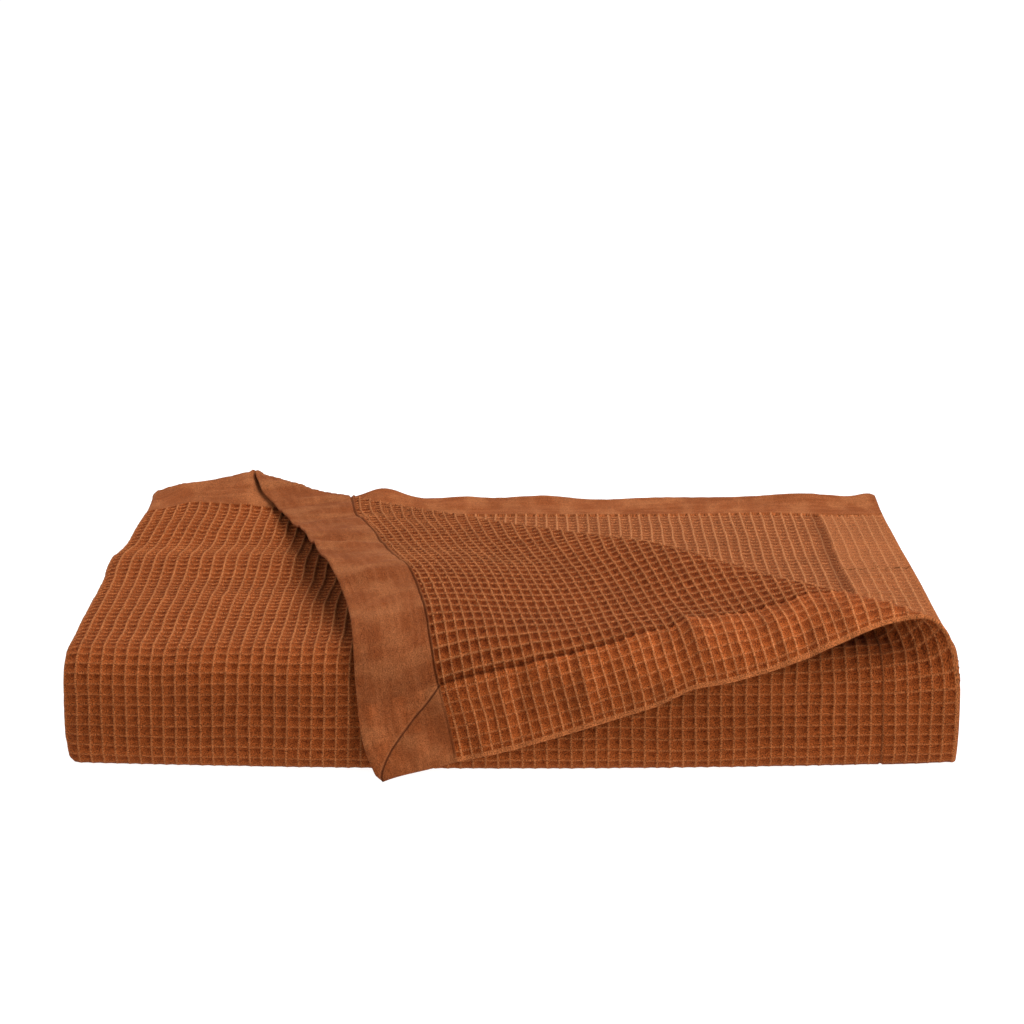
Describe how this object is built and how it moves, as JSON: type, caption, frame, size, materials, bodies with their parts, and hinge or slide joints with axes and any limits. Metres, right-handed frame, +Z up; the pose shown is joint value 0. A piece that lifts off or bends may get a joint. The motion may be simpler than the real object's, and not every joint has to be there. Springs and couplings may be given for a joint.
{
  "type": "folded waffle weave cotton blanket",
  "caption": "Waffle weave cotton blanket folded into a flat rectangular stack, with one mitred corner of its top layer turned over and hanging down the front.",
  "frame": {"origin": "middle of the bottom of the folded blanket's box, on the surface it lies on", "axes": "+X along the long front fold, -Y out of the front fold towards the viewer, +Z up"},
  "size_m": [0.5995, 0.4177, 0.1145],
  "materials": {
    "waffle_cotton": "matt rust waffle cotton with plain woven ends"
  },
  "bodies": {
    "root": {"blanket": "waffle_cotton"}
  },
  "joints": []
}
